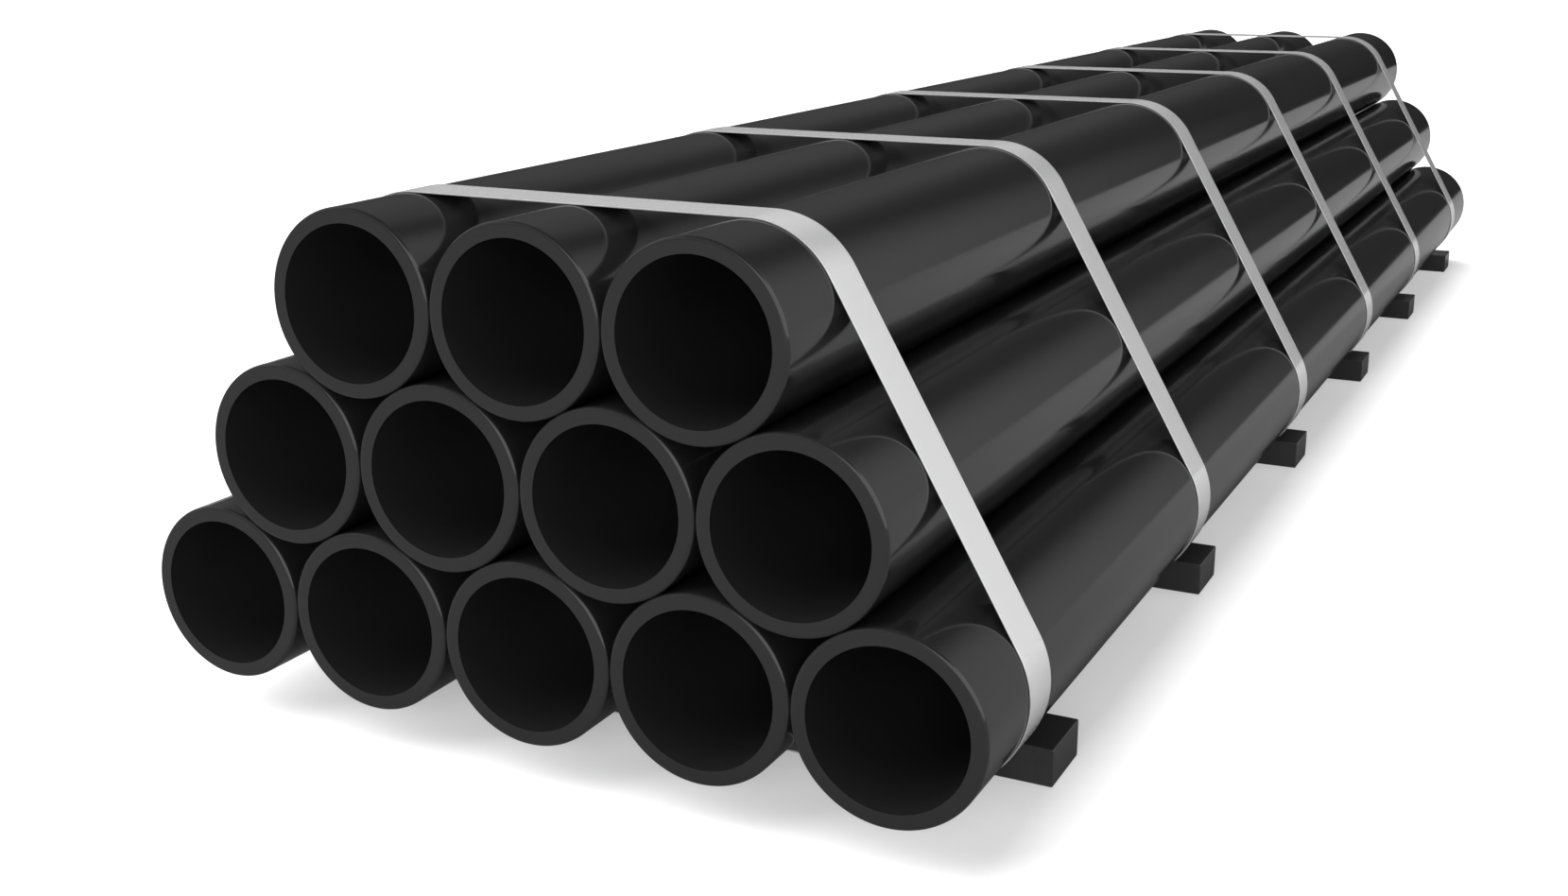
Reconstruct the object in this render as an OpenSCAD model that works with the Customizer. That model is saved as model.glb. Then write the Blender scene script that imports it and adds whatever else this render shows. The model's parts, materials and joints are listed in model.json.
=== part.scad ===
// Strapped bundle of twelve steel pipes.
//
// Three rows of pipes lie in each other's hollows, five, four and three of them.
// Flat steel straps hold the stack together, and it rests on low cross bearers.
// The bottom of the bearers is at z = 0, the pipes run along Y, and the middle of
// their length is at y = 0, so the front ends face -Y.

/* [Pipes] */
// Outside diameter of each pipe (6 inch nominal bore)
pipe_od = 168.3; // [100:0.1:250]
// Wall thickness
pipe_wall = 14.2; // [6:0.1:25]
// Length of each pipe
pipe_len = 3100; // [2000:10:6000]
// Rounding of the outer rim at each pipe end
rim_round = 3.5; // [0.5:0.1:6]

/* [Stack] */
// Pipes in the bottom row, each row above has one fewer
bottom_count = 5; // [4:1:6]
// Rows of pipes
row_count = 3; // [2:1:3]
// Gap left where round steel lies on its neighbour
seat_gap = 0.2; // [0.1:0.05:0.5]

/* [Straps] */
// Straps round the bundle, each with a bearer close behind it
strap_count = 6; // [2:1:8]
// Width of the strap
strap_w = 50.8; // [19:0.1:65]
// Thickness of the strap
strap_t = 1.3; // [0.8:0.1:3]
// Middle of the first strap, from the front pipe ends
strap_front = 120; // [60:1:180]
// Middle of the last strap, from the rear pipe ends
strap_rear = 217; // [170:1:250]

/* [Bearers] */
// Width of a bearer, along the pipes
bearer_w = 72; // [50:1:90]
// Height of a bearer
bearer_h = 36; // [25:1:60]
// How far a bearer's end stays inside the side of the bottom row
bearer_inset = 9; // [0:1:60]
// Rounding of the bearer's edges
bearer_round = 1.5; // [0.5:0.5:8]
// Clear space from the first strap back to the first bearer's even place
bearer_gap_first = 26.6; // [3:0.1:40]
// Clear space from the last strap back to the last bearer
bearer_gap_last = 3.6; // [3:0.1:40]
// How far back from its even place the first bearer lies
bearer_nudge = 24; // [0:1:40]

/* [Hidden] */
$fn = 96;

// Colours
PIPE_BLACK = [0.09, 0.09, 0.10];
BEARER_BLACK = [0.16, 0.16, 0.16];
STRAP_SILVER = [0.80, 0.80, 0.80];

// Pipes and the stack
pipe_r = pipe_od / 2;
bore_r = pipe_r - pipe_wall;
pipe_pitch = pipe_od + seat_gap;
row_rise = pipe_pitch * sqrt(3) / 2;
bottom_row_z = bearer_h + seat_gap + pipe_r;
stack_front = -pipe_len / 2;
stack_rear = pipe_len / 2;

function row_pipes(row) = bottom_count - row;
function pipe_x(row, i) = (i - (row_pipes(row) - 1) / 2) * pipe_pitch;
function row_z(row) = bottom_row_z + row * row_rise;

// Straps
strap_in_r = pipe_r + seat_gap;
strap_out_r = strap_in_r + strap_t;
strap_first_y = stack_front + strap_front;
strap_pitch = (pipe_len - strap_front - strap_rear) / (strap_count - 1);
top_row = row_count - 1;

function strap_y(i) = strap_first_y + i * strap_pitch;

corner_low = [pipe_x(0, bottom_count - 1), row_z(0)];
corner_high = [pipe_x(top_row, row_pipes(top_row) - 1), row_z(top_row)];
// The side run of a strap leans 60 degrees, so its outward normal points 30 degrees up
side_normal = [cos(30), sin(30)];

// Bearers
bearer_len = (bottom_count - 1) * pipe_pitch + pipe_od - 2 * bearer_inset;
bearer_gap_step = (bearer_gap_last - bearer_gap_first) / (strap_count - 1);

function bearer_gap(i) = bearer_gap_first + i * bearer_gap_step + (i == 0 ? bearer_nudge : 0);
function bearer_y(i) = strap_y(i) + strap_w / 2 + bearer_gap(i) + bearer_w / 2;

// Node names
ROW_NAMES = ["bottom", "middle", "top"];

function pipe_name(row, i) = str("pipe_", ROW_NAMES[row], "_", i + 1);
function strap_name(i) = str("strap_", i + 1);
function bearer_name(i) = str("bearer_", i + 1);

// Section through one side of the pipe's wall, with its length up the page:
// the bore is at the left, and the outer rims at the right are rounded
module pipe_section() {
    translate([bore_r, 0]) square([pipe_wall - rim_round, pipe_len]);
    translate([bore_r, rim_round]) square([pipe_wall, pipe_len - 2 * rim_round]);
    for (z = [rim_round, pipe_len - rim_round])
        translate([pipe_r - rim_round, z]) circle(rim_round);
}

// One pipe, turned from its wall section and laid along Y
module pipe(row, i) {
    color(PIPE_BLACK)
        translate([pipe_x(row, i), stack_rear, row_z(row)])
            rotate([90, 0, 0])
                rotate_extrude() pipe_section();
}

// Outline of a band drawn tight round the corner pipes at radius r from their centres
module band_outline(r) {
    for (side = [-1, 1]) {
        translate([side * corner_low[0], corner_low[1]]) circle(r);
        translate([side * corner_high[0], corner_high[1]]) circle(r);
    }
    low_side = corner_low + r * side_normal;
    high_side = corner_high + r * side_normal;
    low_foot = corner_low - [0, r];
    high_head = corner_high + [0, r];
    right_edge = [low_foot, corner_low, low_side, high_side, corner_high, high_head];
    left_edge = [for (k = [len(right_edge) - 1 : -1 : 0]) [-right_edge[k][0], right_edge[k][1]]];
    polygon(concat(right_edge, left_edge));
}

// One strap: a flat band pulled round all three rows
module strap(i) {
    color(STRAP_SILVER)
        translate([0, strap_y(i) + strap_w / 2, 0])
            rotate([90, 0, 0])
                linear_extrude(strap_w)
                    difference() {
                        band_outline(strap_out_r);
                        band_outline(strap_in_r);
                    }
}

// Rectangle with rounded corners, centred
module round_rect(w, h, r) {
    square([w - 2 * r, h], center = true);
    square([w, h - 2 * r], center = true);
    for (x = [-1, 1]) for (y = [-1, 1])
        translate([x * (w / 2 - r), y * (h / 2 - r)]) circle(r);
}

// One bearer: a bar with all its edges rounded, lying across under the bottom row
module bearer(i) {
    color(BEARER_BLACK)
        translate([0, bearer_y(i), bearer_h / 2])
            intersection() {
                rotate([90, 0, 90]) translate([0, 0, -bearer_len / 2])
                    linear_extrude(bearer_len) round_rect(bearer_w, bearer_h, bearer_round);
                translate([0, 0, -bearer_h / 2])
                    linear_extrude(bearer_h) round_rect(bearer_len, bearer_w, bearer_round);
                rotate([90, 0, 0]) translate([0, 0, -bearer_w / 2])
                    linear_extrude(bearer_w) round_rect(bearer_len, bearer_h, bearer_round);
            }
}

for (row = [0 : row_count - 1])
    for (i = [0 : row_pipes(row) - 1])
        pipe(row, i);
for (i = [0 : strap_count - 1]) {
    strap(i);
    bearer(i);
}
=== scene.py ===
import json
import math

import bpy
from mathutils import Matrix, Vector


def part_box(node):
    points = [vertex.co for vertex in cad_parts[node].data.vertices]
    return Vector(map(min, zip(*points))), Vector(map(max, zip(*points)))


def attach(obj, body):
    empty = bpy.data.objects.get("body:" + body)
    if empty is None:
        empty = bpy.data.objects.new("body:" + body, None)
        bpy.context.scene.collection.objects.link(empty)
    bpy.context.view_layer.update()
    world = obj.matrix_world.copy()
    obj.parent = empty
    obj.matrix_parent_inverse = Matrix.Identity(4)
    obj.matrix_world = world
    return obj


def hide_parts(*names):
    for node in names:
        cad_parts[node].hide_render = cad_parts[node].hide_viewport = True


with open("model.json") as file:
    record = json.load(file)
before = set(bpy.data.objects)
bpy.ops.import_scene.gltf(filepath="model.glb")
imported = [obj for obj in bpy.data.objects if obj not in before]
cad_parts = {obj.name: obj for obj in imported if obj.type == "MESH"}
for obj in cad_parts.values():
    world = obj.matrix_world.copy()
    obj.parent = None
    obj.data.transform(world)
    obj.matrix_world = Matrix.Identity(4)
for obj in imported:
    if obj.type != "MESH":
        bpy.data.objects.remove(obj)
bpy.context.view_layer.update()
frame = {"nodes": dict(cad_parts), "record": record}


# ---------------------------------------------------------------------------
# Camera. It stands ahead of the front ends, to their right and a little above
# the stack, and looks back along the pipes.
# ---------------------------------------------------------------------------
scene = bpy.context.scene
camera_data = bpy.data.cameras.new("camera")
camera_data.lens = 40.98
camera_data.shift_x = 0.0134
camera_data.shift_y = -0.0208
camera_data.clip_end = 200
camera = bpy.data.objects.new("camera", camera_data)
camera.location = (0.8310, -2.7275, 0.7201)
camera.rotation_euler = [math.radians(a) for a in (74.836, 0.1545, 26.975)]
scene.collection.objects.link(camera)
scene.camera = camera


# ---------------------------------------------------------------------------
# Pipes. Each one is a thick steel tube, sawn square and turned at its ends,
# with its outer rims eased by a small radius and its bore left sharp. The
# steel is lacquered black all over, the sawn ends included.
# ---------------------------------------------------------------------------
PIPE_SIDES = 128
RIM_ROUND = 0.0035
BORE_EASE = 0.0004
TURNING_STEP = 0.0007

pipe_nodes = [name for name in frame["nodes"] if name.startswith("pipe_")]
bores = [mount for mount in frame["record"]["mounts"] if mount["kind"] == "bore"]
low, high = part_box(pipe_nodes[0])
pipe_r = (high[0] - low[0]) / 2
bore_r = bores[0]["dims"]["r_mm"] / 1000
pipe_len = high[1] - low[1]


def middle(node):
    """Centre of a CAD node's box."""
    low_corner, high_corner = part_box(node)
    return (Vector(low_corner) + Vector(high_corner)) / 2


def edit(obj):
    """Edit mode on one object alone, with nothing selected in it."""
    bpy.ops.object.select_all(action="DESELECT")
    obj.select_set(True)
    bpy.context.view_layer.objects.active = obj
    bpy.ops.object.mode_set(mode="EDIT")
    bpy.ops.mesh.select_all(action="DESELECT")


def pick_faces(obj, test):
    """Selects the faces of the edited object whose middle and normal pass a test."""
    bpy.ops.mesh.select_all(action="DESELECT")
    bpy.ops.mesh.select_mode(type="FACE")
    bpy.ops.object.mode_set(mode="OBJECT")
    for face in obj.data.polygons:
        face.select = test(face.center, face.normal)
    bpy.ops.object.mode_set(mode="EDIT")


def pick_edges(obj, test):
    """Selects the edges of the edited object whose middle passes a test."""
    bpy.ops.mesh.select_all(action="DESELECT")
    bpy.ops.mesh.select_mode(type="EDGE")
    bpy.ops.object.mode_set(mode="OBJECT")
    corners = obj.data.vertices
    for edge in obj.data.edges:
        first, second = edge.vertices
        edge.select = test((corners[first].co + corners[second].co) / 2)
    bpy.ops.object.mode_set(mode="EDIT")


def apply(obj, kind, **settings):
    """Adds a modifier to a finished mesh and applies it."""
    bpy.ops.object.mode_set(mode="OBJECT")
    modifier = obj.modifiers.new(kind.lower(), kind)
    for name, value in settings.items():
        setattr(modifier, name, value)
    bpy.ops.object.modifier_apply(modifier=modifier.name)


def smooth(obj, degrees):
    """Smooth shading up to an angle, with the big faces keeping their own normals."""
    bpy.ops.object.mode_set(mode="OBJECT")
    bpy.ops.object.shade_smooth_by_angle(angle=math.radians(degrees))
    apply(obj, "WEIGHTED_NORMAL", keep_sharp=True, weight=80)


def copy_to(obj, name, shift):
    """A copy with its own mesh, its place in the mesh and its object at the origin."""
    twin = obj.copy()
    twin.data = obj.data.copy()
    twin.name = name
    twin.data.name = name
    for vertex in twin.data.vertices:
        vertex.co += shift
    scene.collection.objects.link(twin)
    return twin


class Wire:
    """A shader value that sums and products can be written with."""

    def __init__(self, tree, socket=None):
        self.tree = tree
        self.socket = socket

    def node(self, kind, settings, inputs, output=0):
        """Adds a node, sets it up, feeds it with numbers or wires, and gives the output asked for."""
        made = self.tree.nodes.new("ShaderNode" + kind)
        for name, value in settings.items():
            setattr(made, name, value)
        for key, value in inputs.items():
            if isinstance(value, Wire):
                self.tree.links.new(value.socket, made.inputs[key])
            else:
                made.inputs[key].default_value = value
        return None if output is None else Wire(self.tree, made.outputs[output])

    def maths(self, operation, *values):
        """One Math node on numbers or wires."""
        return self.node("Math", {"operation": operation}, dict(enumerate(values)))

    def absolute(self):
        return self.maths("ABSOLUTE", self)

    def __add__(self, other):
        return self.maths("ADD", self, other)

    def __sub__(self, other):
        return self.maths("SUBTRACT", self, other)

    def __rsub__(self, other):
        return self.maths("SUBTRACT", other, self)

    def __mul__(self, other):
        return self.maths("MULTIPLY", self, other)

    __radd__ = __add__
    __rmul__ = __mul__

    def between(self, start, stop):
        """0 below start, 1 above stop, smooth between."""
        return self.node("MapRange", {"interpolation_type": "SMOOTHSTEP"},
                         {"Value": self, "From Min": start, "From Max": stop})

    def blend(self, first, second):
        """The first colour where this is 0, the second where it is 1 (colours are sockets 6, 7 and 2)."""
        return self.node("Mix", {"data_type": "RGBA"}, {"Factor": self, 6: first, 7: second}, 2)


def new_material(name):
    """An empty node material and a wire to start from."""
    material = bpy.data.materials.new(name)
    material.use_nodes = True
    material.node_tree.nodes.clear()
    return material, Wire(material.node_tree)


def show(shader, output):
    """Joins a shader to the output of its material or world."""
    shader.node("Output" + output, {}, {"Surface": shader}, None)


def pipe_lacquer():
    """Black lacquer: glossy over rolled steel, a little duller on the turned ends and in the bore, the
    ends and bore with blacks of their own as painted light and shade.
    """
    material, w = new_material("pipe_lacquer")
    place = w.node("TexCoord", {}, {}, "Object")
    lengthwise = w.node("SeparateXYZ", {}, {"Vector": place}, "Y")
    radius = w.node("Attribute", {"attribute_name": "radius"}, {}, "Fac")
    end = lengthwise.absolute().between(pipe_len / 2 - RIM_ROUND / 2, pipe_len / 2 - RIM_ROUND / 20)
    outside = radius.between(bore_r + 0.0005, bore_r + 0.002)
    rings = w.maths("SINE", radius * (math.tau / TURNING_STEP)) * end
    along = w.node("Mapping", {}, {"Vector": place, "Scale": (26, 0.7, 26)})
    cloud = w.node("TexNoise", {}, {"Vector": along, "Scale": 1.0, "Detail": 4, "Roughness": 0.55})
    lines_place = w.node("Mapping", {}, {"Vector": place, "Scale": (420, 1.6, 420)})
    lines = w.node("TexNoise", {}, {"Vector": lines_place, "Scale": 1.0, "Detail": 2})
    peel = w.node("TexNoise", {}, {"Vector": place, "Scale": 240, "Detail": 1})
    tone = cloud.between(0.3, 0.7)
    skin = tone.blend((0.0052, 0.0052, 0.0053, 1), (0.0066, 0.0066, 0.0068, 1))
    # The bore and the turned ends get blacks of their own, set to how bright each shows and not to any
    # change in the lacquer. This is painted light and shade, darkest on the ends.
    painted_bore_and_end_tone = end.blend((0.0064, 0.0064, 0.0066, 1), (0.0042, 0.0042, 0.0043, 1))
    colour = (outside * (1 - end)).blend(painted_bore_and_end_tone, skin)
    rough = 0.085 + tone * 0.035 + lines * 0.03 + (1 - outside) * 0.1 + end * 0.04 + rings * 0.012
    bumps = lines * 0.5 + peel * 0.5 + rings * 0.1
    bump = w.node("Bump", {}, {"Strength": 0.2, "Distance": 0.00002, "Height": bumps})
    shader = w.node("BsdfPrincipled", {}, {
        "Base Color": colour, "Roughness": rough, "Normal": bump, "IOR": 1.5})
    show(shader, "Material")
    return material


bpy.ops.object.select_all(action="DESELECT")
bpy.ops.mesh.primitive_cylinder_add(
    vertices=PIPE_SIDES, radius=pipe_r, depth=pipe_len, rotation=(math.radians(90), 0, 0))
pipe = bpy.context.object
bpy.ops.object.transform_apply()
edit(pipe)
pick_faces(pipe, lambda place, normal: abs(normal.y) > 0.9)
bpy.ops.mesh.inset(thickness=pipe_r - bore_r, use_boundary=True)
bpy.ops.mesh.bridge_edge_loops()
at_ends = pipe_len / 2 - 1e-5
pick_edges(pipe, lambda place: abs(place.y) > at_ends and place.xz.length > pipe_r * 0.99)
bpy.ops.mesh.bevel(offset=RIM_ROUND, segments=5, affect="EDGES")
pick_edges(pipe, lambda place: abs(place.y) > at_ends and place.xz.length < bore_r * 1.001)
bpy.ops.mesh.bevel(offset=BORE_EASE, segments=2, affect="EDGES")
smooth(pipe, 35)
radius = pipe.data.attributes.new("radius", "FLOAT", "POINT")
for vertex in pipe.data.vertices:
    radius.data[vertex.index].value = vertex.co.xz.length
lacquer = pipe_lacquer()
pipe.data.materials.append(lacquer)
for name in pipe_nodes:
    tube = copy_to(pipe, "tube_" + name[5:], middle(name))
    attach(tube, "root")
    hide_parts(name)
bpy.data.objects.remove(pipe)


# ---------------------------------------------------------------------------
# Straps. Flat bright steel strapping, two inches wide, pulled tight round the
# whole stack, so it bends round the four corner pipes and runs straight
# between them.
# ---------------------------------------------------------------------------
STRAP_EDGE = 0.0004
SEAT_GAP = 0.0002
BEND_STEP = 3

strap_nodes = [name for name in frame["nodes"] if name.startswith("strap_")]
low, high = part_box(strap_nodes[0])
low_corner = middle("pipe_bottom_5")
high_corner = middle("pipe_top_3")
strap_r = high[2] - high_corner.z
strap_t = strap_r - pipe_r - SEAT_GAP
strap_w = high[1] - low[1]
band_r = strap_r - strap_t / 2


def strap_steel():
    """Rolled strapping: satin bright steel with fine lines along the band, its thin edges painted dark
    grey as painted shade.
    """
    material, w = new_material("strap_steel")
    place = w.node("TexCoord", {}, {}, "Object")
    lines_place = w.node("Mapping", {}, {"Vector": place, "Scale": (1.5, 400, 1.5)})
    lines = w.node("TexNoise", {}, {"Vector": lines_place, "Scale": 1.0, "Detail": 1})
    cloud = w.node("TexNoise", {}, {"Vector": place, "Scale": 5, "Detail": 2})
    off_middle = w.node("Attribute", {"attribute_name": "off_middle"}, {}, "Fac")
    edge = off_middle.between(strap_w / 2 - STRAP_EDGE, strap_w / 2)
    tone = (lines * 0.25 + cloud * 0.75).between(0.3, 0.7)
    face = tone.blend((0.90, 0.90, 0.90, 1), (0.92, 0.92, 0.92, 1))
    # The thin edges are painted a dark grey. This painted shade keeps them from showing as bright lines
    # on the band and in its reflections in the pipes.
    colour = edge.blend(face, (0.45, 0.45, 0.45, 1))
    rough = 0.155 + cloud * 0.012 + lines * 0.003 + edge * 0.3
    shader = w.node("BsdfPrincipled", {}, {
        "Base Color": colour, "Metallic": 0.8, "Roughness": rough})
    show(shader, "Material")
    return material


def spin(centre, degrees):
    """Turns the selected end of the band round a pipe's axis."""
    bpy.ops.mesh.spin(
        steps=degrees // BEND_STEP, angle=math.radians(degrees), center=centre, axis=(0, 1, 0))


def run(x, z):
    """Draws the selected end of the band out straight."""
    bpy.ops.mesh.extrude_region_move(TRANSFORM_OT_translate={"value": (x, 0, z)})


bpy.ops.object.select_all(action="DESELECT")
bpy.ops.mesh.primitive_plane_add(size=1, rotation=(0, math.radians(90), 0))
band = bpy.context.object
bpy.ops.object.transform_apply()
edit(band)
bpy.ops.mesh.select_all(action="SELECT")
bpy.ops.transform.resize(value=(1, strap_w, strap_t))
bpy.ops.mesh.bevel(offset=STRAP_EDGE, segments=3, affect="VERTICES")
bpy.ops.transform.translate(value=(0, 0, low_corner.z - band_r))
rise = high_corner - low_corner
run(low_corner.x, 0)
spin((low_corner.x, 0, low_corner.z), 120)
run(rise.x, rise.z)
spin((high_corner.x, 0, high_corner.z), 60)
run(-2 * high_corner.x, 0)
spin((-high_corner.x, 0, high_corner.z), 60)
run(rise.x, -rise.z)
spin((-low_corner.x, 0, low_corner.z), 120)
run(low_corner.x, 0)
pick_faces(band, lambda place, normal: abs(normal.x) > 0.9 and abs(place.x) < 1e-4)
bpy.ops.mesh.delete(type="FACE")
bpy.ops.mesh.select_all(action="SELECT")
bpy.ops.mesh.remove_doubles(threshold=1e-5)
bpy.ops.mesh.normals_make_consistent(inside=False)
smooth(band, 35)
off_middle = band.data.attributes.new("off_middle", "FLOAT", "POINT")
for vertex in band.data.vertices:
    off_middle.data[vertex.index].value = abs(vertex.co.y)
steel = strap_steel()
band.data.materials.append(steel)
for name in strap_nodes:
    strap = copy_to(band, "band_" + name[6:], Vector((0, middle(name).y, 0)))
    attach(strap, "root")
    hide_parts(name)
bpy.data.objects.remove(band)


# ---------------------------------------------------------------------------
# Bearers. Low black bars, taken to be moulded plastic, that lie across under
# the bottom row, one close behind each strap, with slightly rounded edges.
# ---------------------------------------------------------------------------
BEARER_ROUND = 0.0015

bearer_nodes = [name for name in frame["nodes"] if name.startswith("bearer_")]
low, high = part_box(bearer_nodes[0])
bearer_size = Vector(high) - Vector(low)


def bearer_plastic():
    """Black moulded plastic: half gloss with a fine cast skin."""
    material, w = new_material("bearer_plastic")
    place = w.node("TexCoord", {}, {}, "Object")
    cloud = w.node("TexNoise", {}, {"Vector": place, "Scale": 14, "Detail": 4})
    grain = w.node("TexNoise", {}, {"Vector": place, "Scale": 900, "Detail": 2})
    tone = cloud.between(0.35, 0.65)
    colour = tone.blend((0.013, 0.013, 0.013, 1), (0.016, 0.016, 0.016, 1))
    rough = 0.11 + tone * 0.04
    bump = w.node("Bump", {}, {"Strength": 0.2, "Distance": 0.00001, "Height": grain})
    shader = w.node("BsdfPrincipled", {}, {
        "Base Color": colour, "Roughness": rough, "Normal": bump, "IOR": 1.5})
    show(shader, "Material")
    return material


bpy.ops.object.select_all(action="DESELECT")
bpy.ops.mesh.primitive_cube_add(size=1)
bar = bpy.context.object
edit(bar)
bpy.ops.mesh.select_all(action="SELECT")
bpy.ops.transform.resize(value=bearer_size)
bpy.ops.mesh.bevel(offset=BEARER_ROUND, segments=5, affect="EDGES")
smooth(bar, 35)
plastic = bearer_plastic()
bar.data.materials.append(plastic)
for name in bearer_nodes:
    bearer = copy_to(bar, "bar_" + name[7:], middle(name))
    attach(bearer, "root")
    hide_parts(name)
bpy.data.objects.remove(bar)


# ---------------------------------------------------------------------------
# Floor and light. A plain pale floor under a soft studio surround, which is
# dark straight behind the bundle and overhead, paler to both sides and bright
# ahead of it, with a soft lamp in front and a wide soft sun from the upper left.
# ---------------------------------------------------------------------------
FLOOR_TONE = 0.37
FLOOR_TONE_IN_GLOSS = 0.12
FLOOR_LIFT = 0.35

scene.view_settings.view_transform = "Standard"


def grey(tone):
    """A plain grey."""
    return (tone, tone, tone, 1)


def paper():
    """Pale matt paper, lifted towards white where the camera sees it and darker in the steel's gloss."""
    material, w = new_material("paper")
    mirrored = w.node("LightPath", {}, {}, "Is Glossy Ray")
    seen = w.node("LightPath", {}, {}, "Is Camera Ray")
    shader = w.node("BsdfPrincipled", {}, {
        "Base Color": mirrored.blend(grey(FLOOR_TONE), grey(FLOOR_TONE_IN_GLOSS)),
        "Specular IOR Level": 0.0,
        "Emission Color": seen.blend(grey(0), grey(FLOOR_LIFT)),
        "Emission Strength": 1.0})
    show(shader, "Material")
    return material


def surround():
    """The studio round the bundle: its glow follows the direction, and the camera sees it white."""
    world = bpy.data.worlds.new("surround")
    world.use_nodes = True
    world.node_tree.nodes.clear()
    w = Wire(world.node_tree)
    direction = w.node("TexCoord", {}, {}, "Generated")
    across = w.node("SeparateXYZ", {}, {"Vector": direction}, "X")
    back = w.node("SeparateXYZ", {}, {"Vector": direction}, "Y")
    height = w.node("SeparateXYZ", {}, {"Vector": direction}, "Z")
    turn = w.maths("ARCTAN2", across, back)     # 0 straight behind, growing to the right
    right = (turn + height * 0.27).between(math.radians(11), math.radians(33)) * 0.5
    left = (0 - turn).between(math.radians(-2), math.radians(16)) * (height * 0.17 + 0.02)
    ahead = turn.absolute().between(math.radians(38), math.radians(75))
    ahead = ahead * (0.3 + across.between(-0.1, 0.35) * 1.05)
    low_down = 1 - height.between(0.66, 0.84)
    glow = 0.02 + low_down * (height * 0.08 + right + left + ahead)
    seen = w.node("LightPath", {}, {}, "Is Camera Ray")
    background = w.node("Background", {}, {"Color": seen.blend(glow, grey(1)), "Strength": 1.0})
    show(background, "World")
    return world


bpy.ops.object.select_all(action="DESELECT")
bpy.ops.mesh.primitive_plane_add(size=60)
floor = bpy.context.object
floor.name = "floor"
floor.data.materials.append(paper())
scene.world = surround()

front_light = bpy.data.lights.new("front_lamp", "AREA")
front_light.size = 4.0
front_light.energy = 780
front_lamp = bpy.data.objects.new("front_lamp", front_light)
front_lamp.location = (1.6, -7.4, 1.3)
aim = Vector((0, -0.6, 0.3)) - front_lamp.location
front_lamp.rotation_euler = aim.to_track_quat("-Z", "Y").to_euler()
front_lamp.visible_glossy = False
scene.collection.objects.link(front_lamp)

sun_light = bpy.data.lights.new("sun", "SUN")
sun_light.energy = 14.2
sun_light.angle = math.radians(100)
sun = bpy.data.objects.new("sun", sun_light)
sun.rotation_euler = (0, math.radians(-41), 0)
sun.visible_glossy = False
scene.collection.objects.link(sun)
